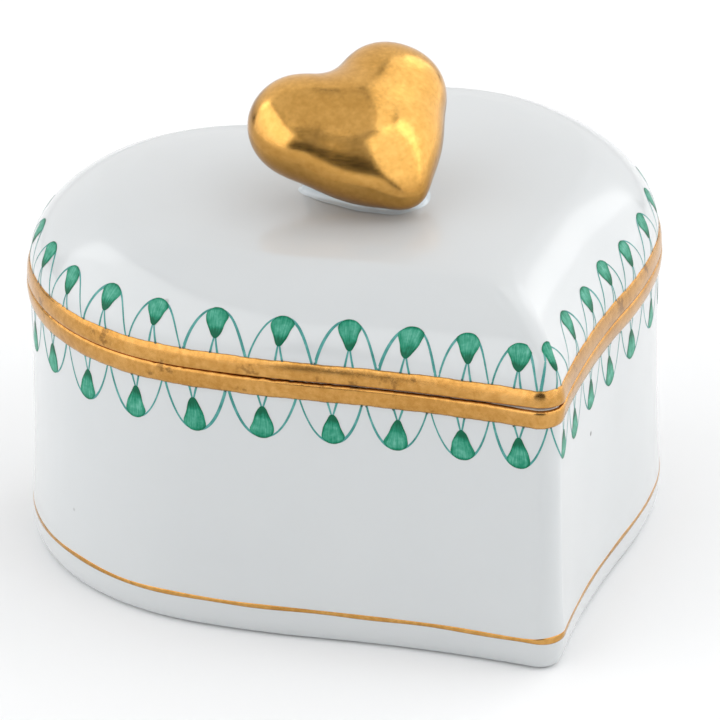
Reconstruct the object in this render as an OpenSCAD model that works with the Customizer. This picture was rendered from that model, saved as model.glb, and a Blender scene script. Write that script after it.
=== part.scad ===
// Heart-shaped porcelain trinket box with a lift-off domed lid and a gilt heart knob.
// Millimetres, +Z up. The origin is the centre of the footprint, on the standing plane.
// The heart's tip points to -Y and its cleft to +Y. The lid is drawn closed.

/* [Heart outline] */
// Reach of the tip in front of the origin, at the rim
tip_reach = 33.57; // [32:0.01:35]
// Radius of the heart's tip
tip_r = 2.5; // [2:0.1:3]
// Angle through which the tip turns on each side
tip_turn = 49.7; // [47:0.1:52]
// Radius of the hollow stretch beside the tip
hollow_r = 138.3; // [125:0.1:160]
// Angle of the hollow stretch
hollow_turn = 9.53; // [8:0.01:11]
// Radius of the gentle swell that follows
swell_r = 77.6; // [70:0.1:90]
// Angle of the swell
swell_turn = 8.93; // [8:0.01:10]
// Radius of each lobe's side
lobe_side_r = 27; // [26:0.1:28]
// Angle of each lobe's side
lobe_side_turn = 59.1; // [57:0.1:61]
// Radius of each lobe's back
lobe_back_r = 22.4; // [21.5:0.1:23]
// Radius of the fillet in the cleft between the lobes
cleft_r = 1.8; // [1.4:0.1:2.4]
// Smallest tip radius on inner walls
inner_tip_r = 1.2; // [0.8:0.1:2]

/* [Box body] */
// Height of the joint between box and lid
seam_z = 28.5; // [26:0.1:31]
// Inset of the outer wall under the gilt bands
wall_in = 0.4; // [0.3:0.05:0.6]
// Wall thickness at the rim, from the widest outline
rim_t = 3; // [2.6:0.1:3.6]
// Thickness of the floor above the standing plane
floor_z = 3.6; // [3:0.1:5]
// Depth of the hollow inside the foot ring
foot_hollow = 0.9; // [0.6:0.1:1.4]
// Width of the unglazed foot ring
foot_ring_w = 3; // [2:0.1:4]
// How far the foot flares past the rim outline
foot_flare = 0.09; // [0:0.01:0.3]

/* [Lid] */
// Height of the upright edge of the lid above the joint
lid_edge_h = 1.96; // [1.5:0.01:2.5]
// Rise of the rounded shoulder
shoulder_h = 7.5; // [6:0.1:9]
// Width of the rounded shoulder
shoulder_w = 10.4; // [8:0.1:12]
// Squareness of the shoulder's curve
shoulder_q = 1.92; // [1.7:0.01:2.3]
// Rise of the gentle crown over the whole lid
crown_h = 1.93; // [1.2:0.01:2.6]
// Wall thickness of the lid
lid_t = 2.9; // [2.4:0.1:3.4]
// Depth of the locating flange below the joint
flange_h = 2.8; // [2:0.1:4]
// Thickness of the locating flange
flange_t = 1.9; // [1.5:0.1:2.4]
// Gap between the flange and the inside of the box
flange_gap = 0.45; // [0.35:0.05:0.8]

/* [Gilding] */
// Height of the gilt band on the box
box_band_h = 2.07; // [1.5:0.01:2.5]
// Height above the standing plane of the thin gilt line on the foot
foot_line_z = 3.45; // [3:0.05:4]
// Height of the thin gilt line
foot_line_h = 0.5; // [0.3:0.05:0.8]
// Relief of the thin gilt line
foot_line_t = 0.1; // [0.1:0.05:0.2]

/* [Knob] */
// Radius of each lobe of the knob
knob_lobe_r = 6.3; // [6:0.1:6.6]
// Half distance between the lobes' centres
knob_lobe_x = 4.57; // [4.2:0.01:4.9]
// Lobe centres behind the knob's middle
knob_lobe_y = 1.9; // [1.4:0.1:2.4]
// Radius of the knob's full belly between the lobes
knob_belly_r = 7.65; // [7.3:0.05:7.9]
// Centre of the belly in front of the knob's middle
knob_belly_y = 1.05; // [0.5:0.05:1.5]
// Radius of the knob's tip
knob_tip_r = 4.2; // [3.8:0.1:4.4]
// Tip centre in front of the knob's middle
knob_tip_y = 6.1; // [5.6:0.1:6.6]
// Flatness of the knob, thickness over width
knob_flat = 0.735; // [0.7:0.005:0.8]
// Tilt that raises the knob's lobes
knob_tilt = 29.7; // [25:0.1:33]
// Turn of the knob about the vertical
knob_yaw = 9.5; // [0:0.1:12]
// Roll that raises the knob's right lobe
knob_roll = -7.8; // [-12:0.1:0]
// Middle of the knob
knob_at = [-3.51, -0.38, 46.95];
// Slope of the slip pad under the knob
seat_tilt = 11.5; // [8:0.5:14]
// Height of the pad's sloping face at the knob's middle
seat_z = 41.75; // [41.5:0.05:42.1]
// Half distance between the pad's rear corners
pad_x = 2.1; // [1.6:0.1:2.6]
// Rear corners of the pad behind the knob's middle
pad_rear_y = 0.6; // [0.2:0.1:1]
// Front corner of the pad in front of the knob's middle
pad_front_y = 4.4; // [4:0.1:4.8]
// Roundness of the pad's corners
pad_r = 2.5; // [2.2:0.1:2.8]
// Step of the pad to the side that the knob leans over
pad_shift = 0.5; // [0:0.1:1]
// Height of the flat landing for the pad on the lid's crown
landing_z = 39.8; // [39.6:0.05:39.9]

/* [Hidden] */
$fn = 48;

// Angles of the outward normal where the right half's arcs join, from the tip round to the cleft.
a_tip = tip_turn - 90;
a_hollow = a_tip - hollow_turn;
a_swell = a_hollow + swell_turn;
a_side = a_swell + lobe_side_turn;

// Centres of the arcs: each one lies on the shared normal where it meets its neighbour.
function dir(a) = [cos(a), sin(a)];
c_tip = [0, tip_r - tip_reach];
c_hollow = c_tip + (tip_r + hollow_r) * dir(a_tip);
c_swell = c_hollow - (hollow_r + swell_r) * dir(a_hollow);
c_side = c_swell + (swell_r - lobe_side_r) * dir(a_swell);
c_back = c_side + (lobe_side_r - lobe_back_r) * dir(a_side);
c_cleft = [0, c_back[1] + sqrt(pow(lobe_back_r + cleft_r, 2) - pow(c_back[0], 2))];
a_back = atan2(c_cleft[1] - c_back[1], -c_back[0]);

// Tip of the outline inset by t: its own arc while that is wide enough, then a small arc between the sides.
function tip_rad(t) = max(tip_r - t, inner_tip_r);
function tip_mid(t) = tip_r - t >= inner_tip_r ? c_tip :
    [0, c_hollow[1] + sqrt(pow(hollow_r + t + inner_tip_r, 2) - pow(c_hollow[0], 2))];
function tip_end(t) = atan2(c_hollow[1] - tip_mid(t)[1], c_hollow[0]);

// Points along an arc, the last one left to the next arc. A negative radius draws a hollow arc.
function arc(c, r, a0, a1, n) = [for (i = [0:n - 1]) c + r * dir(a0 + (a1 - a0) * i / n)];

// Right half of the heart inset by t, from the tip to the cleft.
function half(t) = concat(
    arc(tip_mid(t), tip_rad(t), -90, tip_end(t), 4),
    arc(c_hollow, -(hollow_r + t), tip_end(t), a_hollow, 4),
    arc(c_swell, swell_r - t, a_hollow, a_swell, 3),
    arc(c_side, lobe_side_r - t, a_swell, a_side, 8),
    arc(c_back, lobe_back_r - t, a_side, a_back, 12),
    arc(c_cleft, -(cleft_r + t), a_back, 90, 3),
    [c_cleft - [0, cleft_r + t]]);

// Whole heart inset by t, anticlockwise seen from above.
function heart(t) = let (h = half(t), n = len(h))
    concat(h, [for (i = [n - 2:-1:1]) [-h[i][0], h[i][1]]]);

// A level ring from an [inset, height] pair.
function ring(p) = [for (q = heart(p[0])) [q[0], q[1], p[1]]];

// A ring drawn in towards a middle point, for the calm centre of a floor or a dome.
function shrunk(r, c, s, z) = [for (q = r) [c[0] + s * (q[0] - c[0]), c[1] + s * (q[1] - c[1]), z]];

// Triangles between two rings of n points that start at a and b.
function belt(a, b, n) = [for (i = [0:n - 1]) let (k = (i + 1) % n)
    each [[a + i, b + i, b + k], [a + i, b + k, a + k]]];

// Closed solid through rings, with a middle point at each end.
module skinned(rings, first, last) {
    n = len(rings[0]);
    m = len(rings);
    points = concat([first], [for (r = rings) each r], [last]);
    faces = concat(
        [for (i = [0:n - 1]) [0, 1 + i, 1 + (i + 1) % n]],
        [for (j = [0:m - 2]) each belt(1 + j * n, 1 + (j + 1) * n, n)],
        [for (i = [0:n - 1]) [m * n + 1, 1 + (m - 1) * n + (i + 1) % n, 1 + (m - 1) * n + i]]);
    polyhedron(points, faces, convexity = 8);
}

// Closed hoop through rings: up its outer face and down its inner face.
module hoop(profile) {
    rings = [for (p = profile) ring(p)];
    n = len(rings[0]);
    m = len(rings);
    polyhedron([for (r = rings) each r],
        [for (j = [0:m - 1]) each belt(j * n, ((j + 1) % m) * n, n)], convexity = 8);
}

middle = [0, 2];
lid_edge_z = seam_z + lid_edge_h;
flange_in = rim_t + flange_gap;
hollow_in = flange_in + flange_t;

// Height of the dome over its upright edge, at an inset t from that edge.
function shoulder(t) = shoulder_h * pow(1 - pow(1 - min(t / shoulder_w, 1), shoulder_q), 1 / shoulder_q);
function crown(t) = crown_h * (1 - pow(1 - t / 26.8, 2));
function dome(t) = lid_edge_z + shoulder(t) + crown(t);

module box_body() {
    foot_in = wall_in + 0.1;
    profile = [
        [foot_in + foot_ring_w + 1, foot_hollow],
        [foot_in + foot_ring_w, 0],
        [foot_in + 0.7, 0],
        [foot_in, 0.5],
        [0, 1.7],
        [-foot_flare, foot_line_z - foot_line_h],
        [-foot_flare, foot_line_z + foot_line_h],
        [0.1, 6.5],
        [0.3, 11],
        [wall_in, 19],
        [wall_in, seam_z - 0.1],
        [wall_in + 0.2, seam_z],
        [rim_t - 0.2, seam_z],
        [rim_t, seam_z - 0.2],
        [rim_t + 0.2, 12],
        [rim_t + 0.5, 8],
        [rim_t + 1.4, 5.4],
        [rim_t + 3.2, 4],
        [rim_t + 5.5, floor_z]];
    color("whitesmoke")
        skinned([for (p = profile) ring(p)], concat(middle, foot_hollow), concat(middle, floor_z));
}

module lid() {
    inner = ring([lid_t + 8.6, 0]);
    outer = ring([wall_in + shoulder_w, 0]);
    edge = dome(shoulder_w);
    ceiling = edge - lid_t;
    rise = landing_z - edge;
    hollow = [
        [lid_t + 6.2, ceiling - 0.5],
        [lid_t + 3.9, ceiling - 1.6],
        [lid_t + 2.3, ceiling - 3.2],
        [lid_t + 1.3, ceiling - 5],
        [lid_t + 1.4, seam_z + 1],
        [hollow_in, seam_z - 0.4],
        [hollow_in, seam_z - flange_h + 0.3],
        [hollow_in - 0.3, seam_z - flange_h],
        [flange_in + 0.4, seam_z - flange_h],
        [flange_in, seam_z - flange_h + 0.4],
        [flange_in, seam_z],
        [wall_in + 0.2, seam_z],
        [wall_in, seam_z + 0.1],
        [wall_in, lid_edge_z]];
    rings = concat(
        [for (s = [0.35, 0.7, 1]) shrunk(inner, middle, s, ceiling + 0.6 * (1 - s * s))],
        [for (p = hollow) ring(p)],
        [for (t = [0.15, 0.5, 1.1, 2, 3.2, 4.8, 6.8, 9]) ring([wall_in + t, dome(t)])],
        [shrunk(outer, middle, 1, edge)],
        [for (s = [0.8, 0.6]) shrunk(outer, middle, s, edge + rise * (1 - s * s) / (1 - 0.16))],
        [shrunk(outer, middle, 0.4, landing_z)]);
    color("white")
        skinned(rings, concat(middle, ceiling + 0.6), concat(middle, landing_z));
}

// One of the full rounds that make up the knob: a flattened ball at x, y drawn out to the tip.
module knob_round(x, y, r) {
    hull() {
        translate([x, y, 0])
            scale([1, 1, knob_flat])
                sphere(r = r, $fn = 40);
        translate([0, -knob_tip_y, 0])
            scale([1, 1, knob_flat])
                sphere(r = knob_tip_r, $fn = 32);
    }
}

// Everything under (side -1) or over (side 1) the sloping face where the knob meets its pad.
module seat_space(side) {
    translate([knob_at[0], knob_at[1], seat_z])
        rotate([0, 0, knob_yaw])
            rotate([seat_tilt, 0, 0])
                rotate([0, knob_roll, 0])
                    translate([-20, -20, side > 0 ? 0 : -20])
                        cube([40, 40, 20]);
}

module heart_knob() {
    color("goldenrod")
        difference() {
            translate(knob_at)
                rotate([0, 0, knob_yaw])
                    rotate([knob_tilt, 0, 0])
                        rotate([0, knob_roll, 0])
                            union() {
                                knob_round(knob_lobe_x, knob_lobe_y, knob_lobe_r);
                                knob_round(-knob_lobe_x, knob_lobe_y, knob_lobe_r);
                                knob_round(0, -knob_belly_y, knob_belly_r);
                            }
            seat_space(-1);
        }
}

// Pad of slip that joins the knob to the lid: a low wedge, narrow under the knob's tip.
module knob_seat() {
    color("aliceblue")
        difference() {
            translate([knob_at[0], knob_at[1], landing_z])
                rotate([0, 0, knob_yaw])
                    linear_extrude(height = 5)
                        hull() {
                            translate([pad_shift - pad_x, pad_rear_y])
                                circle(r = pad_r);
                            translate([pad_shift + pad_x, pad_rear_y])
                                circle(r = pad_r);
                            translate([pad_shift, -pad_front_y])
                                circle(r = pad_r);
                        }
            seat_space(1);
        }
}

module box_gold_band() {
    color("gold")
        hoop([
            [wall_in - 0.05, seam_z - box_band_h],
            [wall_in - 0.2, seam_z - box_band_h + 0.25],
            [wall_in - 0.35, seam_z - 1],
            [0, seam_z - 0.3],
            [0.12, seam_z - 0.1],
            [wall_in, seam_z - 0.1],
            [wall_in, seam_z - box_band_h]]);
}

module lid_gold_band() {
    color("gold")
        hoop([
            [0.12, seam_z + 0.1],
            [0, seam_z + 0.3],
            [0.06, seam_z + 0.8],
            [0.2, lid_edge_z - 0.4],
            [wall_in - 0.05, lid_edge_z],
            [wall_in, lid_edge_z],
            [wall_in, seam_z + 0.1]]);
}

module foot_gold_line() {
    color("gold")
        hoop([
            [-foot_flare, foot_line_z - foot_line_h / 2],
            [-foot_flare - foot_line_t, foot_line_z - foot_line_h / 5],
            [-foot_flare - foot_line_t, foot_line_z + foot_line_h / 5],
            [-foot_flare, foot_line_z + foot_line_h / 2]]);
}

box_body();
lid();
heart_knob();
knob_seat();
box_gold_band();
lid_gold_band();
foot_gold_line();
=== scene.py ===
import math
import random

import bmesh
import bpy
import numpy as np
from mathutils import Matrix, Vector


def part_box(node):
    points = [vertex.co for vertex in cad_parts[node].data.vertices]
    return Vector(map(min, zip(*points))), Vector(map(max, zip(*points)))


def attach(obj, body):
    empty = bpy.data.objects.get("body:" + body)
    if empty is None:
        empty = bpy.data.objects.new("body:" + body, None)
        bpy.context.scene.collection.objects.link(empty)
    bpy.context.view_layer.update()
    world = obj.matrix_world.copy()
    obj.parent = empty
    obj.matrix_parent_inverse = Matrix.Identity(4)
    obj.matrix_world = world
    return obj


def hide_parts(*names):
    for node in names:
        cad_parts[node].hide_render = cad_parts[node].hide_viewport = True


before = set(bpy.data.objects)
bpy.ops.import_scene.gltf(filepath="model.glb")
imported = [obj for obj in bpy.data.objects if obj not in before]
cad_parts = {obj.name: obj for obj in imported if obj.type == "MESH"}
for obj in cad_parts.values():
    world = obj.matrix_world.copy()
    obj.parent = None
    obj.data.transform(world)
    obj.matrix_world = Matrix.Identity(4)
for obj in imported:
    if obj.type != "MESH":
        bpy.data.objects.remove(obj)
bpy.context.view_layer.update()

# Heart-shaped porcelain trinket box. Lengths are in millimetres, and MM turns them into metres when a mesh is
# made. Only the studio's lights and floor are given in metres.
MM = 0.001

# Heights that the frame gives, and the place of the heart's tip.
SEAM_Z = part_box("box_body")[1].z / MM
LID_EDGE_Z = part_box("lid_gold_band")[1].z / MM
BOX_BAND_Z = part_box("box_gold_band")[0].z / MM
FOOT_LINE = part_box("foot_gold_line")
FOOT_LINE_Z = (FOOT_LINE[0].z + FOOT_LINE[1].z) / 2 / MM
LANDING_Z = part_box("knob_seat")[0].z / MM
TIP_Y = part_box("box_gold_band")[0].y / MM

# Heart outline, as in the design: arcs with common normals, from the tip round the right lobe to the cleft.
# Each has its radius and, where the next arc doesn't settle it, the angle that it turns through.
TIP_R, TIP_TURN = 2.5, 49.7
HOLLOW_R, HOLLOW_TURN = 138.3, 9.53
SWELL_R, SWELL_TURN = 77.6, 8.93
SIDE_R, SIDE_TURN = 27.0, 59.1
BACK_R = 22.4
CLEFT_R = 1.8
# The tip's least radius as it climbs the lid, and how fast that grows with the inset.
TIP_SOFT, TIP_SOFTENING = 0.9, 0.35
# Where floors and crowns draw in to.
MIDDLE = np.array([0.0, 2.0])

# Box: _IN is an inset from the outline, _T a thickness and _H a height. WALL_KNOTS are (height, inset).
WALL_IN = 0.4
RIM_T = 3.0
FOOT_FLARE = 0.06
WALL_KNOTS = [(0, 0.55), (1.6, 0.03), (FOOT_LINE_Z, -FOOT_FLARE), (6.5, 0.1), (11, 0.26), (19, 0.36),
              (29, WALL_IN)]
RECESS_Z = 0.9
FLOOR_Z = 3.6

# Lid: its flange, the shoulder and crown of its outer face, and the ceiling of its hollow. A _Q says how square
# a curve is, where 2 is an ellipse.
FLANGE_IN = RIM_T + 0.45
FLANGE_T = 1.9
FLANGE_H = 2.8
LID_T = 2.9
SHOULDER_H, SHOULDER_W, SHOULDER_Q = 7.5, 10.4, 1.92
CROWN_H, CROWN_REACH = 1.93, 26.8
CROWN_TOP_Z = 39.9
CEILING_H, CEILING_W, CEILING_Q = 5, 7.4, 1.9
CEILING_IN = LID_T + 8.6
CEILING_RISE = 0.5


# ---------------------------------------------------------------- outline

def direction(a):
    """Unit vectors at angles a, in radians."""
    return np.stack([np.cos(a), np.sin(a)], -1)


class Heart:
    """The heart outline at any inset, addressed by arc length from the tip, positive round the right lobe."""

    SAMPLES = (14, 26, 16, 40, 60, 12)

    def __init__(self):
        rad = math.radians
        self.a_tip = rad(TIP_TURN - 90)
        self.a_hollow = self.a_tip - rad(HOLLOW_TURN)
        self.a_swell = self.a_hollow + rad(SWELL_TURN)
        self.a_side = self.a_swell + rad(SIDE_TURN)
        self.c_tip = np.array([0.0, TIP_Y + TIP_R])
        self.c_hollow = self.c_tip + (TIP_R + HOLLOW_R) * direction(self.a_tip)
        self.c_swell = self.c_hollow - (HOLLOW_R + SWELL_R) * direction(self.a_hollow)
        self.c_side = self.c_swell + (SWELL_R - SIDE_R) * direction(self.a_swell)
        self.c_back = self.c_side + (SIDE_R - BACK_R) * direction(self.a_side)
        rise = math.sqrt((BACK_R + CLEFT_R) ** 2 - self.c_back[0] ** 2)
        self.c_cleft = np.array([0.0, self.c_back[1] + rise])
        self.a_back = math.atan2(rise, -self.c_back[0])
        lengths = [float(abs(r * (b - a))) for _, _, r, a, b in self.arcs(np.float64(WALL_IN))]
        self.starts = np.concatenate([[0.0], np.cumsum(lengths)])
        self.hollow_start = float(self.arcs(np.float64(WALL_IN))[1][3])
        self.half = self.starts[-1]

    def tip(self, t):
        """The y of the tip's centre and its radius at insets t. The tip softens again as it climbs the lid."""
        soft = TIP_SOFT + TIP_SOFTENING * t
        end = self.c_hollow[1] + np.sqrt((HOLLOW_R + t + soft) ** 2 - self.c_hollow[0] ** 2)
        sharp = TIP_R - t > soft
        return np.where(sharp, self.c_tip[1], end), np.where(sharp, TIP_R - t, soft)

    def arcs(self, t):
        """(centre x, centre y, signed radius, first and last angle of the normal) of each arc at insets t."""
        y, r = self.tip(t)
        end = np.arctan2(self.c_hollow[1] - y, self.c_hollow[0])
        return [
            (0.0, y, r, -math.pi / 2, end),
            (*self.c_hollow, -(HOLLOW_R + t), end, self.a_hollow),
            (*self.c_swell, SWELL_R - t, self.a_hollow, self.a_swell),
            (*self.c_side, SIDE_R - t, self.a_swell, self.a_side),
            (*self.c_back, BACK_R - t, self.a_side, self.a_back),
            (*self.c_cleft, -(CLEFT_R + t), self.a_back, math.pi / 2),
        ]

    def lengths(self, dense=1):
        """Arc lengths of the ring's vertices, from the tip round the right side and back along the left."""
        parts = [np.linspace(a, b, dense * n, endpoint=False)
                 for a, b, n in zip(self.starts, self.starts[1:], self.SAMPLES)]
        right = np.concatenate(parts + [[self.half]])
        return np.concatenate([right, -right[-2:0:-1]])

    def at(self, s, t, upright=False):
        """Points at arc lengths s and insets t. Upright keeps each s square to the edge beside the tip."""
        s = (np.asarray(s, float) + self.half) % (2 * self.half) - self.half
        t = np.broadcast_to(np.asarray(t, float), s.shape)
        a = np.abs(s)
        arc = np.clip(np.searchsorted(self.starts, a, side="right") - 1, 0, 5)
        share = (a - self.starts[arc]) / np.diff(self.starts)[arc]
        x, y = np.zeros(s.shape), np.zeros(s.shape)
        for k, values in enumerate(self.arcs(t)):
            here = arc == k
            cx, cy, r, first, last = (np.broadcast_to(v, s.shape)[here] for v in values)
            if upright and k == 1:
                angle = np.minimum(self.hollow_start + (last - self.hollow_start) * share[here], first)
            else:
                angle = first + (last - first) * share[here]
            x[here] = cx + r * np.cos(angle)
            y[here] = cy + r * np.sin(angle)
        return np.stack([x * np.where(s < 0, -1, 1), y], -1)

    def ring(self, t, z):
        """The whole outline at inset t and height z."""
        xy = self.at(self.lengths(), t)
        return np.column_stack([xy, np.full(len(xy), z)])


heart = Heart()


# ---------------------------------------------------------------- surfaces

def smooth_curve(knots, x):
    """Smooth curve through (x, y) knots, by cubic pieces whose slopes are the neighbours' mean."""
    kx, ky = np.array(knots, float).T
    slope = np.gradient(ky, kx)
    i = np.clip(np.searchsorted(kx, x) - 1, 0, len(kx) - 2)
    w = kx[i + 1] - kx[i]
    u = (x - kx[i]) / w
    a = (1 + 2 * u) * (1 - u) ** 2 * ky[i] + u * (1 - u) ** 2 * w * slope[i]
    return a + u * u * (3 - 2 * u) * ky[i + 1] + u * u * (u - 1) * w * slope[i + 1]


def wall_inset(z):
    """Inset of the box's outer wall at height z: a flared foot under an almost upright wall."""
    return smooth_curve(WALL_KNOTS, np.asarray(z, float))


def dome_profile(theta):
    """Inset from the lid's edge, and height. Theta is 0 at the upright edge and pi/2 at the shoulder's end."""
    power = 2 / SHOULDER_Q
    t = SHOULDER_W * (1 - np.cos(theta) ** power)
    z = LID_EDGE_Z + SHOULDER_H * np.sin(theta) ** power + CROWN_H * (1 - (1 - t / CROWN_REACH) ** 2)
    return t, z


def dome_by_length():
    """Distance up from the gilt edge, inset and height; the first point is on the upright edge below it."""
    theta = np.linspace(0, math.pi / 2, 400)
    t, z = dome_profile(theta)
    h = np.concatenate([[0], np.cumsum(np.hypot(np.diff(t), np.diff(z)))])
    return np.append(-1, h), np.append(0, t), np.append(LID_EDGE_Z - 1, z)


DOME_H, DOME_T, DOME_Z = dome_by_length()


def lid_surface(s, h):
    """Points of the lid at arc length s and distance h up from the gilt edge."""
    t = WALL_IN + np.interp(h, DOME_H, DOME_T)
    z = np.interp(h, DOME_H, DOME_Z)
    return np.column_stack([heart.at(s, t, upright=True), z])


def box_surface(s, h):
    """Points of the box's wall at arc length s and distance h down from the gilt edge."""
    z = BOX_BAND_Z - np.asarray(h, float)
    t = wall_inset(z)
    return np.column_stack([heart.at(s, t), z])


# How many waves handmade() adds up, what their sum is divided by, and the height under which they stop lifting.
WAVES, WAVES_SUM, CALM_UNDER = 7, 2.2, 3


def handmade(points, amount=0.05, wavelength=17.0, seed=3):
    """Soft waves of a hand-finished casting: the same shift for every piece that lies on the same place."""
    rng = np.random.default_rng(seed)
    shift = np.zeros((len(points), 3))
    for _ in range(WAVES):
        axis = rng.normal(size=3)
        axis *= 2 * math.pi / (wavelength * rng.uniform(0.7, 1.6) * np.linalg.norm(axis))
        push = rng.normal(size=3)
        push /= np.linalg.norm(push)
        shift += np.outer(np.sin(points @ axis + rng.uniform(0, 6.28)), push) * amount / WAVES_SUM
    shift[:, 2] *= np.clip(points[:, 2] / CALM_UNDER, 0, 1)
    return points + shift


def rounded(corners, steps=7):
    """Polyline through (inset, height, radius) corners, each one rounded by its radius."""
    pts = [np.array(c[:2], float) for c in corners]
    out = [pts[0]]
    for i in range(1, len(corners) - 1):
        p, r = pts[i], corners[i][2]
        u, v = pts[i - 1] - p, pts[i + 1] - p
        lu, lv = np.linalg.norm(u), np.linalg.norm(v)
        if r <= 0 or lu < 1e-9 or lv < 1e-9:
            out.append(p)
            continue
        u, v = u / lu, v / lv
        half = math.acos(max(-1, min(1, float(u @ v)))) / 2
        cut = min(r / math.tan(half), 0.48 * lu, 0.48 * lv)
        a, b = p + u * cut, p + v * cut
        for f in np.linspace(0, 1, steps):
            out.append((1 - f) ** 2 * a + 2 * f * (1 - f) * p + f * f * b)
    out.append(pts[-1])
    return np.array(out)


# ---------------------------------------------------------------- meshes

def piece(name, verts, faces, materials, body, uvs=None, face_materials=None, replaces=()):
    """A smooth-shaded mesh object from millimetre points, riding on its body."""
    if not np.isfinite(verts).all():
        raise ValueError(name + " has points that are not numbers")
    mesh = bpy.data.meshes.new(name)
    mesh.from_pydata((np.asarray(verts) * MM).tolist(), [], [list(map(int, f)) for f in faces])
    for m in materials:
        mesh.materials.append(m)
    mesh.polygons.foreach_set("use_smooth", [True] * len(mesh.polygons))
    if face_materials is not None:
        mesh.polygons.foreach_set("material_index", [int(k) for k in face_materials])
    if uvs is not None:
        layer = mesh.uv_layers.new(name="Place")
        index = np.zeros(len(mesh.loops), np.int32)
        mesh.loops.foreach_get("vertex_index", index)
        layer.data.foreach_set("uv", np.asarray(uvs, np.float32)[index].ravel())
    mesh.validate()
    mesh.update()
    obj = bpy.data.objects.new(name, mesh)
    bpy.context.scene.collection.objects.link(obj)
    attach(obj, body)
    if replaces:
        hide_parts(*replaces)


def loft(rings, first=None, last=None, closed=False, belt_materials=None):
    """Vertices, faces and face materials through rings of equal length. First and last are middle points that
    cap the ends, and closed joins the last ring to the first. Belt_materials has one number for each ring."""
    m, n = len(rings), len(rings[0])
    verts = [np.concatenate(rings)]
    faces, marks = [], []
    i = np.arange(n)
    k = (i + 1) % n
    belts = range(m if closed else m - 1)
    for j in belts:
        a, b = j * n, ((j + 1) % m) * n
        faces += np.stack([a + i, a + k, b + k, b + i], 1).tolist()
        marks += [0 if belt_materials is None else belt_materials[j]] * n
    if first is not None:
        c = m * n
        verts.append(np.array([first]))
        faces += np.stack([np.full(n, c), k, i], 1).tolist()
        marks += [marks[0]] * n
    if last is not None:
        c = m * n + (first is not None)
        verts.append(np.array([last]))
        a = (m - 1) * n
        faces += np.stack([np.full(n, c), a + i, a + k], 1).tolist()
        marks += [marks[(m - 2) * n]] * n
    return np.concatenate(verts), faces, marks


def drawn_in(ring, scales, heights):
    """Rings drawn in towards the middle, for calm floors and crowns."""
    out = []
    for s, z in zip(scales, heights):
        xy = MIDDLE + (ring[:, :2] - MIDDLE) * s
        out.append(np.column_stack([xy, np.full(len(xy), z)]))
    return out


def bare_belts(profile, bare):
    """1 for the unglazed belts, where bare(point, next point of the profile) holds, and 0 for the rest."""
    return [1 if bare(p, q) else 0 for p, q in zip(profile, profile[1:])] + [0]


# ---------------------------------------------------------------- materials

class Nodes:
    """A short way to write a material's node tree."""

    def __init__(self, name):
        self.material = bpy.data.materials.new(name)
        self.material.use_nodes = True
        self.tree = self.material.node_tree
        self.shader = self.tree.nodes["Principled BSDF"]

    def node(self, kind, settings=None, inputs=None):
        n = self.tree.nodes.new(kind)
        for key, value in (settings or {}).items():
            setattr(n, key, value)
        for key, value in (inputs or {}).items():
            self.put(n.inputs[key], value)
        return n

    def put(self, socket, value):
        if isinstance(value, bpy.types.NodeSocket):
            self.tree.links.new(value, socket)
        else:
            socket.default_value = value

    def set(self, **values):
        for key, value in values.items():
            self.put(self.shader.inputs[key.replace("_", " ")], value)

    def coords(self, kind="Object", scale=(1, 1, 1)):
        source = self.node("ShaderNodeTexCoord").outputs[kind]
        return self.node("ShaderNodeMapping", inputs={"Vector": source, "Scale": scale}).outputs[0]

    def noise(self, vector, scale, detail, roughness=0.5):
        inputs = {"Vector": vector, "Scale": scale, "Detail": detail, "Roughness": roughness}
        return self.node("ShaderNodeTexNoise", inputs=inputs).outputs["Fac"]

    def ramp(self, fac, *stops):
        """Colours at some values of fac, with smooth steps between them."""
        n = self.node("ShaderNodeValToRGB", inputs={"Fac": fac})
        while len(n.color_ramp.elements) < len(stops):
            n.color_ramp.elements.new(0.5)
        for e, (at, colour) in zip(n.color_ramp.elements, stops):
            e.position = at
            e.color = (*colour, 1)
        return n.outputs["Color"]

    def grey(self, fac, *stops):
        return self.ramp(fac, *[(at, (v, v, v)) for at, v in stops])

    def mix(self, fac, socket, colour, blend="MIX"):
        """A socket's colour mixed with a fixed one."""
        n = self.node("ShaderNodeMix", {"data_type": "RGBA", "blend_type": blend})
        self.put(n.inputs[0], fac)
        self.put(n.inputs[6], socket)
        self.put(n.inputs[7], (*colour, 1))
        return n.outputs[2]

    def maths(self, operation, a, b=0.5):
        n = self.node("ShaderNodeMath", {"operation": operation})
        self.put(n.inputs[0], a)
        self.put(n.inputs[1], b)
        return n.outputs[0]

    def bump(self, height, distance, strength):
        inputs = {"Height": height, "Distance": distance, "Strength": strength}
        self.set(Normal=self.node("ShaderNodeBump", inputs=inputs).outputs[0])


def porcelain_material():
    n = Nodes("porcelain_glaze")
    place = n.coords()
    cloud = n.noise(place, 45, 3)
    tint = n.ramp(cloud, (0.3, (0.562, 0.583, 0.592)), (0.7, (0.584, 0.603, 0.610)))
    pores = n.node("ShaderNodeTexVoronoi", inputs={"Vector": place, "Scale": 70.0}).outputs["Distance"]
    speck = n.grey(pores, (0.012, 1.0), (0.022, 0.0))
    rare = n.grey(n.noise(place, 60, 0), (0.60, 0.0), (0.64, 1.0))
    pinhole = n.maths("MULTIPLY", speck, rare)
    n.set(Base_Color=n.mix(pinhole, tint, (0.10, 0.09, 0.08)))
    n.set(Roughness=0.35, Coat_Weight=1.0, Coat_Roughness=0.14, Coat_IOR=1.48, IOR=1.45)
    n.set(Subsurface_Weight=0.12, Subsurface_Radius=(1.0, 0.9, 0.8), Subsurface_Scale=0.0012)
    n.bump(n.noise(place, 160, 2), 0.00002, 0.5)
    return n.material


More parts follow.
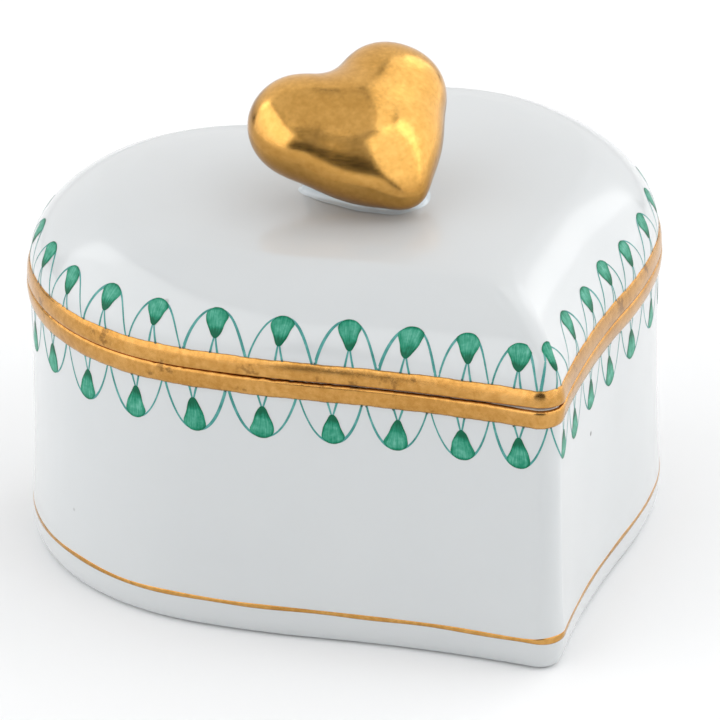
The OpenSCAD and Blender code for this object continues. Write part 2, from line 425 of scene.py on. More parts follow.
def biscuit_material():
    n = Nodes("biscuit")
    place = n.coords()
    grain = n.noise(place, 2600, 4)
    n.set(Base_Color=n.ramp(n.noise(place, 300, 4), (0.3, (0.62, 0.60, 0.57)), (0.7, (0.76, 0.75, 0.73))))
    n.set(Roughness=0.85)
    n.bump(grain, 0.00003, 0.6)
    return n.material


def slip_material():
    n = Nodes("slip_glaze")
    place = n.coords()
    # Painted shade: the pad's base colour is a bluish grey that stands for the shade under the knob.
    n.set(Base_Color=n.ramp(n.noise(place, 260, 2), (0.3, (0.46, 0.54, 0.59)), (0.7, (0.54, 0.61, 0.66))))
    n.set(Roughness=0.3, Coat_Weight=1.0, Coat_Roughness=0.03, Coat_IOR=1.52)
    n.bump(n.noise(place, 500, 2), 0.00003, 0.5)
    return n.material


def gold_material(name, tones, worn, smooth, shaded_below=None):
    """Fired gold in a low, middle and high tone, with stains where worn is above 0. The last argument is a pair
    of V
    for painted shade: under the first the gold is darkened, and over the second it keeps its full tone."""
    n = Nodes(name)
    place = n.coords()
    cloud = n.maths("ADD", n.maths("MULTIPLY", n.noise(place, 200, 3), 0.4),
                    n.maths("MULTIPLY", n.noise(place, 1500, 3, 0.65), 0.6))
    low, mid, high = tones
    body = n.ramp(cloud, (0.38, low), (0.50, mid), (0.62, high))
    if worn:
        stain = n.grey(n.noise(place, 330, 5, 0.65), (0.61, 0.0), (0.67, worn))
        body = n.mix(stain, body, (0.16, 0.075, 0.025))
    # Painted shade: below the first V the gold's colour is multiplied darker, as if shaded there.
    if shaded_below:
        height = n.node("ShaderNodeSeparateXYZ", inputs={"Vector": n.coords("UV")}).outputs["Y"]
        thin = n.grey(height, (shaded_below[0], 1.0), (shaded_below[1], 0.0))
        body = n.mix(thin, body, (0.62, 0.60, 0.58), "MULTIPLY")
    n.set(Base_Color=body, Metallic=1.0)
    brushed = n.noise(n.coords(scale=(1, 1, 6)), 900, 3, 0.7)
    n.set(Roughness=n.grey(brushed, (0.3, smooth), (0.7, smooth + 0.10)))
    n.bump(n.noise(place, 2600, 3, 0.6), 0.00002, 0.22)
    return n.material


def enamel_material():
    """Green fans: brush streaks run from the narrow, dark end to the broad one, and the colour pools along the
    edge. The fraction of U is across the fan and V along it."""
    n = Nodes("green_enamel")
    uv = n.node("ShaderNodeSeparateXYZ", inputs={"Vector": n.coords("UV")}).outputs
    streaks = n.noise(n.coords("UV", (7.0, 0.8, 1)), 2.0, 3, 0.6)
    pools = n.noise(n.coords(), 1100, 3, 0.6)
    wash = n.maths("ADD", n.maths("MULTIPLY", streaks, 0.75), n.maths("MULTIPLY", pools, 0.85))
    along = n.grey(uv["Y"], (0.0, 0.0), (0.16, 0.0), (0.42, 0.48), (0.70, 0.60), (0.90, 0.48), (1.0, 0.08))
    off_middle = n.maths("ABSOLUTE", n.maths("SUBTRACT", n.maths("FRACT", uv["X"]), 0.5))
    rim = n.grey(off_middle, (0.34, 0.0), (0.50, 0.30))
    light = n.maths("SUBTRACT", n.maths("ADD", wash, along), n.maths("ADD", rim, 0.80))
    colour = n.ramp(light, (0.05, (0.000, 0.105, 0.050)), (0.35, (0.010, 0.215, 0.122)),
                    (0.60, (0.060, 0.325, 0.220)), (0.90, (0.180, 0.470, 0.370)))
    n.set(Base_Color=colour, Roughness=0.45, Specular_IOR_Level=0.12, Coat_Weight=0.15, Coat_Roughness=0.06)
    n.bump(streaks, 0.00002, 0.4)
    return n.material


def line_material():
    n = Nodes("teal_line")
    thin = n.noise(n.coords(), 700, 3, 0.6)
    n.set(Base_Color=n.ramp(thin, (0.30, (0.025, 0.195, 0.170)), (0.55, (0.060, 0.285, 0.260)),
                            (0.80, (0.160, 0.410, 0.385))))
    n.set(Roughness=0.45, Specular_IOR_Level=0.25, Coat_Weight=0.2, Coat_Roughness=0.06)
    return n.material


def speck_material():
    n = Nodes("dark_speck")
    tint = n.noise(n.coords(), 900, 2)
    n.set(Base_Color=n.ramp(tint, (0.3, (0.004, 0.03, 0.02)), (0.7, (0.02, 0.07, 0.05))))
    n.set(Roughness=0.3, Coat_Weight=1.0, Coat_Roughness=0.05)
    return n.material


BAND_TONES = ((0.48, 0.235, 0.056), (0.56, 0.290, 0.078), (0.64, 0.345, 0.105))
KNOB_TONES = ((0.63, 0.330, 0.077), (0.70, 0.376, 0.094), (0.77, 0.424, 0.114))

PORCELAIN = porcelain_material()
BISCUIT = biscuit_material()
SLIP = slip_material()
BAND_GOLD = gold_material("band_gold", BAND_TONES, worn=0.6, smooth=0.17)
# The knob's gold carries painted shade on its lower part, below the crease.
KNOB_GOLD = gold_material("knob_gold", KNOB_TONES, worn=0.0, smooth=0.16, shaded_below=(0.57, 0.63))
ENAMEL = enamel_material()
LINE = line_material()
SPECK = speck_material()


# ---------------------------------------------------------------- box body

def build_box_body():
    """Corners are (inset, height, radius), from the recess under the box over the foot and rim to the floor."""
    foot = [(7.5, RECESS_Z, 0), (4.3, RECESS_Z, 0.35), (4.0, 0.0, 0.3), (1.25, 0.0, 0.5), (0.62, 0.30, 0.4)]
    heights = np.concatenate([np.linspace(0.9, 8, 22), np.linspace(8.8, SEAM_Z - 0.5, 26)])
    wall = [(wall_inset(z), z, 0) for z in heights]
    rim = [(WALL_IN, SEAM_Z - 0.06, 0.12), (RIM_T, SEAM_Z - 0.06, 0.4)]
    inside = [(RIM_T + 0.1, 14, 0), (RIM_T + 0.25, FLOOR_Z + 0.15, 4.2), (10.5, FLOOR_Z + 0.02, 0)]
    profile = rounded(foot + wall + rim + inside)
    rings = [heart.ring(t, z) for t, z in profile]
    # The foot's face and the rim are unglazed.
    belts = bare_belts(profile, lambda p, q: (p[1] < 0.02 and q[1] < 0.02)
                       or (p[1] > SEAM_Z - 0.09 and q[1] > SEAM_Z - 0.12))
    floor = drawn_in(rings[-1], (0.75, 0.45, 0.2), [FLOOR_Z] * 3)
    verts, faces, marks = loft(rings + floor, (*MIDDLE, RECESS_Z), (*MIDDLE, FLOOR_Z),
                               belt_materials=belts + [0] * len(floor))
    piece("box_body_porcelain", handmade(verts), faces, [PORCELAIN, BISCUIT], "box",
          face_materials=marks, replaces=["box_body"])


# ---------------------------------------------------------------- lid

def relax(rings, first, passes):
    """Evens out heights from ring number first inwards, so that the crown carries no crease."""
    z = np.array([r[:, 2] for r in rings])
    for _ in range(passes):
        inner = z[first:-1]
        round_about = (np.roll(inner, 1, 1) + np.roll(inner, -1, 1)) / 2
        up_down = (z[first - 1:-2] + z[first + 1:]) / 2
        z[first:-1] = 0.5 * up_down + 0.5 * round_about
        z[-1] = z[-2].mean()
    for r, h in zip(rings, z):
        r[:, 2] = h


def lid_crown():
    """Rings of the lid's outer face, from the upright edge to the middle."""
    t, z = dome_profile(np.linspace(0, math.pi / 2, 30))
    rings = [heart.ring(WALL_IN + a, b) for a, b in zip(t, z)]
    scales = np.linspace(1, 0, 25)[1:-1]
    rings += drawn_in(rings[-1], scales, z[-1] + (CROWN_TOP_Z - z[-1]) * (1 - scales ** 2))
    relax(rings, first=24, passes=40)
    return rings


def build_lid():
    """Corners are (inset, height, radius), from the ceiling of the hollow over the flange to the outer edge."""
    ceiling = dome_profile(np.array([math.pi / 2]))[1][0] - LID_T
    power = 2 / CEILING_Q
    spring = ceiling - CEILING_H
    bow = [(CEILING_IN - CEILING_W * math.cos(a) ** power, spring + CEILING_H * math.sin(a) ** power, 0)
           for a in np.linspace(math.pi / 2, 0, 14)]
    hollow_t = FLANGE_IN + FLANGE_T
    flange = [(LID_T + 1.25, SEAM_Z + 1.3, 0.9), (hollow_t, SEAM_Z - 0.3, 0.9),
              (hollow_t, SEAM_Z - FLANGE_H, 0.7), (FLANGE_IN, SEAM_Z - FLANGE_H, 0.6)]
    edge = [(FLANGE_IN, SEAM_Z + 0.02, 0.25), (WALL_IN + 0.05, SEAM_Z + 0.06, 0.12),
            (WALL_IN, LID_EDGE_Z - 0.05, 0), (WALL_IN, LID_EDGE_Z - 0.02, 0)]
    profile = rounded(bow + flange + edge)
    under = [heart.ring(t, z) for t, z in profile]
    scales = (0.3, 0.6, 0.85)
    start = drawn_in(under[0], scales, [ceiling + CEILING_RISE * (1 - s * s) for s in scales])
    outer = lid_crown()
    # The ledge that rests on the box and the flange's lower end are unglazed.
    belts = bare_belts(profile, lambda p, q: (abs(p[1] - SEAM_Z) < 0.08 and p[0] < FLANGE_IN + 0.1)
                       or p[1] < SEAM_Z - FLANGE_H + 0.3)
    verts, faces, marks = loft(start + under + outer, (*MIDDLE, ceiling + CEILING_RISE),
                               (*MIDDLE, outer[-1][:, 2].mean()),
                               belt_materials=[0] * len(start) + belts + [0] * len(outer))
    piece("lid_porcelain", handmade(verts), faces, [PORCELAIN, BISCUIT], "lid",
          face_materials=marks, replaces=["lid"])


# ---------------------------------------------------------------- gilding

def shut_at(s):
    """1 on the two sides, where the lid sits shut and a little inside the box, and 0 across the front."""
    return 1 / (1 + np.exp((s + 33) / 3.0)) + 1 / (1 + np.exp(-(s - 3) / 1.5))


def gap_at(s):
    """How far the two gilt edges stand apart: the joint opens a little on the left of the tip."""
    beside_tip = 0.12 * np.exp(-((s + 1) / 4) ** 2)
    further_left = 0.03 * np.exp(-((s + 16) / 12) ** 2)
    return 0.03 - 0.08 * shut_at(s) + beside_tip + further_left


def band_point(inset, z, opening=0, waves=0, crumbling=0, drop=0):
    """A point of a band's profile: its shares of the joint's opening, of the edge's unevenness and of the
    crumbs along the joint, and how far it drops where the joint is shut."""
    return inset, z, opening, waves, crumbling, drop


def build_band(name, node, body, profile, set_back):
    """A gilt hoop through a profile of band points. Its lower edge is set back where the joint is shut."""
    s = heart.lengths(4)
    rng = np.random.default_rng(17 + len(name))
    uneven = 0.04 * np.sin(s * 0.9) + 0.025 * np.sin(s * 2.3 + 1) + 0.015 * np.sin(s * 6.1 + 2)
    crumbs = np.convolve(np.tile(rng.normal(size=len(s)), 3), [0.3, 0.6, 0.3], "same")[len(s):2 * len(s)]
    crumbs *= 0.5 + 0.5 * np.sin(s / 3.3) * np.sin(s / 8.1 + 1)
    rings, uvs = [], []
    for k, (t, z, opening, waves, crumbling, drop) in enumerate(profile):
        behind = min(max((LID_EDGE_Z - 0.3 - z) / 1.5, 0), 1) * set_back * shut_at(s)
        ring = np.column_stack([heart.at(s, t + behind + 0.35 * crumbling * crumbs), np.full(len(s), z)])
        ring[:, 2] += opening * gap_at(s) + waves * uneven + crumbling * crumbs - drop * shut_at(s)
        rings.append(ring)
        uvs.append(np.column_stack([s / 10, np.full(len(s), k / (len(profile) - 1))]))
    verts, faces, _ = loft(rings, closed=True)
    piece(name, handmade(verts), faces, [BAND_GOLD], body, uvs=np.concatenate(uvs), replaces=[node])


def build_gilding():
    z = BOX_BAND_Z
    box_profile = [
        band_point(WALL_IN + 0.10, z, waves=0.6),
        band_point(WALL_IN - 0.03, z, waves=0.6),
        band_point(WALL_IN - 0.13, z + 0.10, waves=0.4),
        band_point(WALL_IN - 0.24, z + 0.30),
        band_point(0.09, z + 0.65),
        band_point(0.03, z + 1.1),
        band_point(0.0, z + 1.45, opening=-0.3),
        band_point(0.02, SEAM_Z - 0.30, opening=-0.6, crumbling=0.015),
        band_point(0.09, SEAM_Z - 0.15, opening=-0.6, crumbling=0.04),
        band_point(0.22, SEAM_Z - 0.07, opening=-0.6, crumbling=0.05),
        band_point(0.45, SEAM_Z - 0.05, opening=-0.5, crumbling=0.02),
        band_point(WALL_IN + 0.25, SEAM_Z - 0.3),
    ]
    build_band("box_gold_band_gilt", "box_gold_band", "box", box_profile, set_back=0)
    z = LID_EDGE_Z
    lid_profile = [
        band_point(WALL_IN + 0.25, SEAM_Z + 0.3),
        band_point(0.55, SEAM_Z + 0.02, opening=0.3),
        band_point(0.22, SEAM_Z + 0.04, opening=1, crumbling=0.01),
        band_point(0.07, SEAM_Z + 0.10, opening=1, crumbling=0.01, drop=0.05),
        band_point(0.01, SEAM_Z + 0.24, opening=0.8, drop=0.13),
        band_point(0.0, SEAM_Z + 0.5, opening=0.3, drop=0.10),
        band_point(0.04, SEAM_Z + 0.9),
        band_point(0.12, z - 0.60),
        band_point(0.23, z - 0.24),
        band_point(WALL_IN - 0.07, z - 0.05, waves=0.4),
        band_point(WALL_IN - 0.01, z, waves=0.6),
        band_point(WALL_IN + 0.10, z - 0.02, waves=0.6),
    ]
    build_band("lid_gold_band_gilt", "lid_gold_band", "lid", lid_profile, set_back=0.07)


# Across the foot line: share of its half width, and height over the porcelain. Its edges sink into the wall.
FOOT_LINE_PROFILE = [(-1, -0.05), (-0.92, 0.02), (-0.5, 0.035), (0.5, 0.035), (0.92, 0.02), (1, -0.05)]


def build_foot_line():
    """Thin hand-drawn line on the foot, a little thicker where the brush closed the ring at the tip."""
    s = heart.lengths()
    wave = 0.06 * np.sin(s / 5.3) + 0.04 * np.sin(s / 2.1 + 1)
    half_width = 0.24 + 0.03 * np.sin(s / 1.7) + 0.16 * np.exp(-(s / 1.6) ** 2)
    rings, uvs = [], []
    for k, (side, lift) in enumerate(FOOT_LINE_PROFILE):
        z = FOOT_LINE_Z + wave + side * half_width
        rings.append(np.column_stack([heart.at(s, wall_inset(z) - lift), z]))
        uvs.append(np.column_stack([s / 10, np.full(len(s), k / (len(FOOT_LINE_PROFILE) - 1))]))
    verts, faces, _ = loft(rings)
    piece("foot_gold_line_gilt", handmade(verts), faces, [BAND_GOLD], "box",
          uvs=np.concatenate(uvs), replaces=["foot_gold_line"])


# ---------------------------------------------------------------- painted border

FAN_COUNT = 32
PITCH = 2 * heart.half / FAN_COUNT
# Each fan has a stretch of U of its own, so that no two have the same streaks.
FAN_U_STEP = 4
# How far each row of motifs has wandered from even steps, at some arc lengths.
LID_DRIFT = [(-110, 0), (-80, 0), (-61, 1.3), (-48, 0.9), (-35, 1.0), (-24, 1.8), (-15, 1.4), (-8, 0.6),
             (-3, -0.4), (3, -2.1), (9, -0.4), (16, -0.4), (24, -0.6), (30, -0.8), (36, 0.3), (50, 0.3),
             (80, 0), (110, 0)]
BOX_DRIFT = [(-110, 0), (-80, 0), (-61, -1.9), (-48, -1.6), (-38, -1.2), (-29, -0.3), (-16, 0.3), (-3, 0.2),
             (3, -0.3), (9, -1.4), (20, -1.7), (29, -1.3), (36, 0.0), (50, 0.2), (80, 0), (110, 0)]


class Painter:
    """Collects flat brush shapes in (arc length, distance from the gilding) and lays them on a surface. A shape
    is thick in its middle and thinner along its edges, and all of it stands lift higher."""

    STEP = 0.02
    EDGE_SHARE = 0.35

    def __init__(self, surface, thick, lift=0.0):
        self.surface = surface
        self.thick = thick
        self.lift = lift
        self.verts, self.faces, self.uvs = [], [], []
        self.count = 0

    def grid(self, s, h, u, v):
        """Adds a grid of points given as 2-D arrays."""
        rows, cols = s.shape
        flat_s, flat_h = s.ravel(), h.ravel()
        p = self.surface(flat_s, flat_h)
        ds = self.surface(flat_s + self.STEP, flat_h) - p
        dh = self.surface(flat_s, flat_h + self.STEP) - p
        out = p[:, :2] - MIDDLE
        # Where the outline comes to a point, the surface has no width along s, and a step across the outward
        # direction stands in.
        pointed = np.linalg.norm(ds, axis=1) < 1e-6
        ds[pointed, :2] = np.column_stack([-out[:, 1], out[:, 0]])[pointed]
        normal = np.cross(ds, dh)
        normal /= np.linalg.norm(normal, axis=1)[:, None]
        flip = np.sign((normal[:, :2] * out).sum(1) + 1e-9)
        normal *= flip[:, None]
        down, across = (np.sin(np.linspace(0, math.pi, n)) ** 0.3 for n in (rows, cols))
        body = np.outer(down, across).ravel()
        height = self.thick * (self.EDGE_SHARE + (1 - self.EDGE_SHARE) * body) + self.lift
        self.verts.append(handmade(p) + normal * height[:, None])
        for r in range(rows - 1):
            for c in range(cols - 1):
                a = self.count + r * cols + c
                self.faces.append([a, a + 1, a + cols + 1, a + cols])
        self.uvs.append(np.column_stack([u.ravel(), v.ravel()]))
        self.count += rows * cols

    def stroke(self, s, h, widths):
        """A brush line along (s, h) with the given widths."""
        s, h, widths = (np.asarray(x, float) for x in (s, h, widths))
        ds, dh = np.gradient(s), np.gradient(h)
        length = np.hypot(ds, dh) + 1e-9
        ns, nh = -dh / length, ds / length
        across = np.linspace(-0.5, 0.5, 4)
        gs = s[:, None] + ns[:, None] * across * widths[:, None]
        gh = h[:, None] + nh[:, None] * across * widths[:, None]
        run = np.cumsum(length)
        self.grid(gs, gh, across[None, :] + 0.5 + 0 * gs, run[:, None] + 0 * gs)

    def dab(self, s, h, size, rng):
        """A small round touch of colour."""
        r, a = np.meshgrid(np.linspace(0.05, 1, 4), np.linspace(0, 2 * math.pi, 11))
        stretch = rng.uniform(0.8, 1.5)
        self.grid(s + size * r * np.cos(a), h + size * r * np.sin(a) * stretch, r, a)

    def build(self, name, material, body):
        piece(name, np.concatenate(self.verts), self.faces, [material], body,
              uvs=np.concatenate(self.uvs))


def motif_places(drift, rng):
    """Arc lengths of the motifs: even steps round the heart, with a painter's slow drift."""
    even = (np.arange(FAN_COUNT) + 0.5) * PITCH - heart.half
    return [s + rng.uniform(-0.15, 0.15) for s in even + smooth_curve(drift, even)]


def paint_arch(lines, left, mid, right, crown, lean, gap, rng):
    """An arch, a little uneven, drawn from foot to foot. Gives the arc lengths of its two feet."""
    v = np.linspace(-1, 1, 41)
    reach = np.where(v < 0, mid - left - gap / 2, right - mid - gap / 2)
    s = mid + v * reach + lean * (1 - v * v) * 0.5
    h = crown * np.clip(1 - np.abs(v) ** 2.35, 0, 1) ** 0.92 - 0.1
    width = rng.uniform(0.20, 0.27) * (1 + 0.25 * np.sin(v * 2.6 + rng.uniform(0, 6)))
    lines.stroke(s, h, width)
    return s[0], s[-1]


def paint_fan(fans, number, mid, crown, lean, narrow_end, rng):
    """A fan: narrow dark end towards the gilding, broad end along the arch's crown. Narrow_end is the range of
    the narrow end's height as a share of the crown's. Gives the narrow end's arc length and height."""
    a, b = np.meshgrid(np.linspace(-1, 1, 15), np.linspace(0, 1, 15))
    low = crown * rng.uniform(*narrow_end)
    half_width = 0.28 + (rng.uniform(1.28, 1.50) - 0.28) * b ** rng.uniform(0.70, 0.90)
    half_width *= 1 - 0.22 * np.clip((b - 0.78) / 0.22, 0, 1) ** 2
    half_width *= 1 + 0.05 * np.sin(9 * b + rng.uniform(0, 6)) * np.sign(a)
    foot = mid - lean * 0.2 - rng.uniform(-0.1, 0.25)
    top = crown + 0.08 - 0.50 * np.abs(a) ** 2.4
    bottom = low + 0.12 * a ** 2
    s = foot + (mid + lean * 0.5 - foot) * b + a * half_width
    h = bottom + (top - bottom) * b
    fans.grid(s, h, a * 0.5 + 0.5 + FAN_U_STEP * number, b)
    return foot, low


def paint_stems(lines, specks, foot, low, rng):
    """Two stems from the fan's narrow end, and the specks of dry colour where they meet the gilding."""
    f = np.linspace(0, 1, 9)
    for side in (-1, 1):
        spread = side * rng.uniform(0.32, 0.52)
        s = foot + side * 0.08 + (spread - side * 0.08) * f
        h = (low + 0.1) * (1 - f)
        lines.stroke(s, h - 0.1 * f, 0.18 + 0.06 * f)
        if rng.random() < 0.7:
            specks.dab(foot + spread, rng.uniform(-0.05, 0.05), rng.uniform(0.07, 0.13), rng)


def paint_border(surface, body, tall, narrow_end, drift, seed):
    """One row of arches, each with a fan hung in its crown and two stems down to the gilding."""
    rng = random.Random(seed)
    fans, lines, specks = Painter(surface, 0.030, 0.008), Painter(surface, 0.020), Painter(surface, 0.03, 0.07)
    places = motif_places(drift, rng)
    for i, mid in enumerate(places):
        left = (mid + places[i - 1] - (2 * heart.half if i == 0 else 0)) / 2
        right = (mid + places[(i + 1) % FAN_COUNT] + (2 * heart.half if i == FAN_COUNT - 1 else 0)) / 2
        gap = rng.uniform(0.15, 0.55)
        crown = tall * rng.uniform(0.95, 1.05)
        lean = rng.uniform(-0.3, 0.3)
        ends = paint_arch(lines, left, mid, right, crown, lean, gap, rng)
        foot, low = paint_fan(fans, i, mid, crown, lean, narrow_end, rng)
        paint_stems(lines, specks, foot, low, rng)
        for end in ends:
            if rng.random() < 0.45:
                specks.dab(end, rng.uniform(-0.04, 0.06), rng.uniform(0.08, 0.14), rng)
    fans.build(body + "_painted_fans", ENAMEL, body)
    lines.build(body + "_painted_arches", LINE, body)
    specks.build(body + "_paint_specks", SPECK, body)


# ---------------------------------------------------------------- knob

# The knob's place and turn, its rounded cones, how flat it is, and how far the cones melt together.
KNOB_AT = np.array([-3.51, -0.38, 46.82])
KNOB_TILT, KNOB_YAW, KNOB_ROLL = 29.7, 9.5, -7.8
KNOB_LOBE_X, KNOB_LOBE_Y, KNOB_LOBE_R = 5.10, 2.32, 5.78
KNOB_BELLY_Y, KNOB_BELLY_R = 1.58, 6.94
KNOB_TIP_Y, KNOB_TIP_R = 7.76, 1.60
KNOB_FLAT = 0.788
KNOB_BLEND = 3.1
# Longer than the knob's reach from its middle. It is also the width of its UV square.
KNOB_SPAN = 20.0


def tapered(p, a, b, r1, r2):
    """Distance to a cone with round ends of radii r1 at a and r2 at b."""
    ba = b - a
    l2 = ba @ ba
    rr = r1 - r2
    a2 = l2 - rr * rr
    pa = p - a
    y = pa @ ba
    z = y - l2
    x2 = ((pa * l2 - np.outer(y, ba)) ** 2).sum(1)
    y2, z2 = y * y * l2, z * z * l2
    k = np.sign(rr) * rr * rr * x2
    side = (np.sqrt(np.maximum(x2 * a2 / l2, 0)) + y * rr) / l2 - r1
    first = np.sqrt(x2 + y2) / l2 - r1
    last = np.sqrt(x2 + z2) / l2 - r2
    out = np.where(np.sign(y) * a2 * y2 < k, first, side)
    return np.where(np.sign(z) * a2 * z2 > k, last, out)


def blended(d1, d2):
    """The smaller of two distances, with a smooth change from one to the other."""
    h = np.clip(0.5 + 0.5 * (d2 - d1) / KNOB_BLEND, 0, 1)
    return d2 * (1 - h) + d1 * h - KNOB_BLEND * h * (1 - h)


def knob_distance(p):
    """Distance to the knob: two lobes and a fuller belly, all drawn out to one tip and melted together."""
    q = p / np.array([1, 1, KNOB_FLAT])
    lobe = np.array([KNOB_LOBE_X, KNOB_LOBE_Y, 0])
    belly = np.array([0, -KNOB_BELLY_Y, 0])
    tip = np.array([0, -KNOB_TIP_Y, 0])
    lobes = blended(tapered(q, lobe, tip, KNOB_LOBE_R, KNOB_TIP_R),
                    tapered(q, lobe * [-1, 1, 1], tip, KNOB_LOBE_R, KNOB_TIP_R))
    return blended(lobes, tapered(q, belly, tip, KNOB_BELLY_R, KNOB_TIP_R))


def knob_matrix():
    """Turns the knob's own coordinates, in which it faces up z with its tip towards -y, into the box's."""
    turn = Matrix.Rotation(math.radians(KNOB_YAW), 3, "Z")
    turn = turn @ Matrix.Rotation(math.radians(KNOB_TILT), 3, "X")
    turn = turn @ Matrix.Rotation(math.radians(KNOB_ROLL), 3, "Y")
    return np.array(turn)


def build_knob():
    """Puffy heart: rays from its middle find the blended surface."""
    ball = bmesh.new()
    bmesh.ops.create_icosphere(ball, subdivisions=6, radius=1)
    rays = np.array([v.co[:] for v in ball.verts])
    faces = [[v.index for v in f.verts] for f in ball.faces]
    ball.free()
    low, high = np.zeros(len(rays)), np.full(len(rays), KNOB_SPAN)
    for _ in range(30):
        mid = (low + high) / 2
        inside = knob_distance(rays * mid[:, None]) < 0
        low = np.where(inside, mid, low)
        high = np.where(inside, high, mid)
    points = rays * low[:, None]
    uvs = np.column_stack([points[:, 0] / KNOB_SPAN + 0.5, points[:, 2] / KNOB_SPAN + 0.5])
    verts = handmade(points, amount=0.06, wavelength=7.0, seed=11) @ knob_matrix().T + KNOB_AT
    piece("heart_knob_gilt", verts, faces, [KNOB_GOLD], "lid",
          uvs=uvs, replaces=["heart_knob"])


# Slip pad: its middle, the fillet round it as (distance out, height over the landing), and its reach at some
# angles in degrees. It is fuller under the left lobe and under the tip.
PAD_AT = np.array([-2.2, -1.2])
PAD_FILLET = [(0.50, -0.10), (0.36, -0.01), (0.22, 0.06), (0.12, 0.16), (0.04, 0.32), (0.0, 0.55)]
PAD_REACH = [(-98, 5.3), (-65, 5.4), (-28, 5.1), (0, 4.7), (45, 4.2), (90, 4.4), (118, 5.9), (142, 7.4),
             (162, 5.8), (190, 4.4), (215, 4.1), (241, 4.4), (262, 5.3), (295, 5.4)]


def build_knob_seat():
    """Slip pad from the crown up to the knob's underside, with a fillet that runs out onto the lid."""
    angle = np.arange(-90, 270, 2.0)
    reach = smooth_curve(PAD_REACH, angle) + 0.08 * np.sin(np.radians(angle) * 5 + 1)
    ray = direction(np.radians(angle))
    turn = knob_matrix()
    rings = [np.column_stack([PAD_AT + ray * (reach + out)[:, None], np.full(len(angle), LANDING_Z + z)])
             for out, z in PAD_FILLET]
    edge, base = rings[-1][:, :2], rings[-1][0, 2]
    low, high = np.full(len(angle), base), np.full(len(angle), KNOB_AT[2])
    for _ in range(24):
        mid = (low + high) / 2
        points = np.column_stack([edge, mid])
        inside = knob_distance((points - KNOB_AT) @ turn) < 0
        low, high = np.where(inside, low, mid), np.where(inside, mid, high)
    # Half way up, up to the knob, and then on inside it, where the pad is closed.
    for share, sunk in [(0.5, 0), (1.0, 0.05), (1.0, 0.5)]:
        rings.append(np.column_stack([edge - ray * (0.25 * share + sunk), base + (low - base) * share + sunk]))
    crown = rings[-1][:, 2].mean() + 0.5
    for share in (0.7, 0.4):
        xy = PAD_AT + (rings[-1][:, :2] - PAD_AT) * share
        rings.append(np.column_stack([xy, np.full(len(angle), crown)]))
    verts, faces, _ = loft(rings, last=(*PAD_AT, crown))
    piece("knob_seat_slip", verts, faces, [SLIP], "lid", replaces=["knob_seat"])


# ---------------------------------------------------------------- studio

CAMERA_AZIMUTH, CAMERA_ELEVATION, CAMERA_ROLL = -27.573, 24.502, -0.516
CAMERA_DISTANCE = 600.0
CAMERA_AIM = np.array([-5.18, -3.16, 22.81])
CAMERA_LENS = 296.98

# Softboxes: azimuth (0 is in front of the tip and 90 on the right) and elevation in degrees, distance and
# (width, height) in metres, and radiance. The right, side and back ones follow closely on each other: a gap
# shows on the gold as a dark stripe, and a wide overlap as a bright one.
SOFTBOXES = {
    "left_softbox": (-101, 27, 0.62, (1.22, 0.64), 1.42),
    "right_softbox": (24, 27, 0.62, (0.78, 0.66), 1.10),
    "side_softbox": (85, 27, 0.62, (0.74, 0.62), 1.14),
    "front_fill": (-30, 42, 0.62, (0.46, 0.36), 0.26),
    "high_left_softbox": (-100, 80, 0.80, (1.00, 0.66), 0.58),
    "high_right_softbox": (72, 66, 0.80, (0.95, 0.30), 1.10),
    "back_softbox": (161, 30, 0.9, (1.85, 1.0), 0.70),
}
WORLD_COLOUR, WORLD_STRENGTH = (0.97, 0.985, 1.0, 1), 0.05
FLOOR_HALF = 4


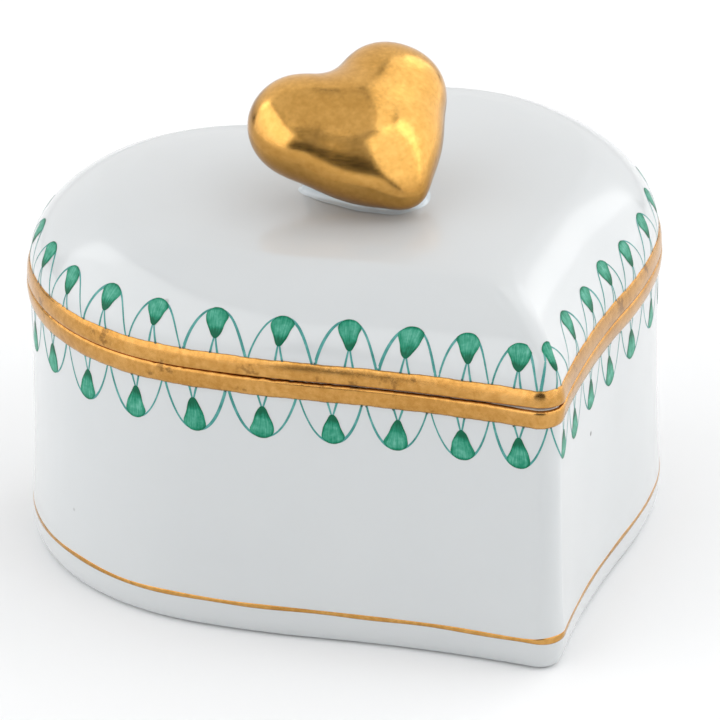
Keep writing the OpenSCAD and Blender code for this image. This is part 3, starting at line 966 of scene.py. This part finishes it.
def build_camera():
    az, el, roll = (math.radians(v) for v in (CAMERA_AZIMUTH, CAMERA_ELEVATION, CAMERA_ROLL))
    ahead = np.array([-math.sin(az) * math.cos(el), math.cos(az) * math.cos(el), -math.sin(el)])
    right = np.array([math.cos(az), math.sin(az), 0])
    up = np.cross(right, ahead)
    x = math.cos(roll) * right + math.sin(roll) * up
    y = -math.sin(roll) * right + math.cos(roll) * up
    data = bpy.data.cameras.new("camera")
    data.lens = CAMERA_LENS
    data.sensor_width = 36
    data.clip_start = 0.01
    camera = bpy.data.objects.new("camera", data)
    place = Matrix.Identity(4)
    for row in range(3):
        place[row][0], place[row][1], place[row][2] = x[row], y[row], -ahead[row]
        place[row][3] = float(CAMERA_AIM[row] - ahead[row] * CAMERA_DISTANCE) * MM
    camera.matrix_world = place
    bpy.context.scene.collection.objects.link(camera)
    bpy.context.scene.camera = camera


def softbox(name, azimuth, elevation, distance, size, radiance):
    """Soft light of an even radiance, turned towards the box."""
    az, el = math.radians(azimuth), math.radians(elevation)
    at = Vector((math.sin(az) * math.cos(el), -math.cos(az) * math.cos(el), math.sin(el))) * distance
    data = bpy.data.lights.new(name, "AREA")
    data.shape = "RECTANGLE"
    data.size, data.size_y = size
    data.energy = 4 * size[0] * size[1] * radiance
    light = bpy.data.objects.new(name, data)
    light.location = at
    light.rotation_euler = (-at).to_track_quat("-Z", "Y").to_euler()
    light.visible_camera = False
    bpy.context.scene.collection.objects.link(light)


def build_floor():
    mesh = bpy.data.meshes.new("floor")
    w = FLOOR_HALF
    mesh.from_pydata([(-w, -w, 0), (w, -w, 0), (w, w, 0), (-w, w, 0)], [], [(0, 1, 2, 3)])
    floor = bpy.data.objects.new("floor", mesh)
    n = Nodes("pale_floor")
    n.set(Base_Color=(0.86, 0.865, 0.87, 1), Roughness=0.9)
    mesh.materials.append(n.material)
    bpy.context.scene.collection.objects.link(floor)


def build_studio():
    for name, values in SOFTBOXES.items():
        softbox(name, *values)
    world = bpy.data.worlds.new("studio")
    world.use_nodes = True
    background = world.node_tree.nodes["Background"].inputs
    background["Color"].default_value = WORLD_COLOUR
    background["Strength"].default_value = WORLD_STRENGTH
    bpy.context.scene.world = world
    bpy.context.scene.view_settings.view_transform = "Standard"


build_camera()
build_box_body()
build_lid()
build_gilding()
build_foot_line()
paint_border(lid_surface, "lid", tall=4.5, narrow_end=(0.31, 0.39), drift=LID_DRIFT, seed=5)
paint_border(box_surface, "box", tall=4.45, narrow_end=(0.24, 0.31), drift=BOX_DRIFT, seed=9)
build_knob()
build_knob_seat()
build_floor()
build_studio()
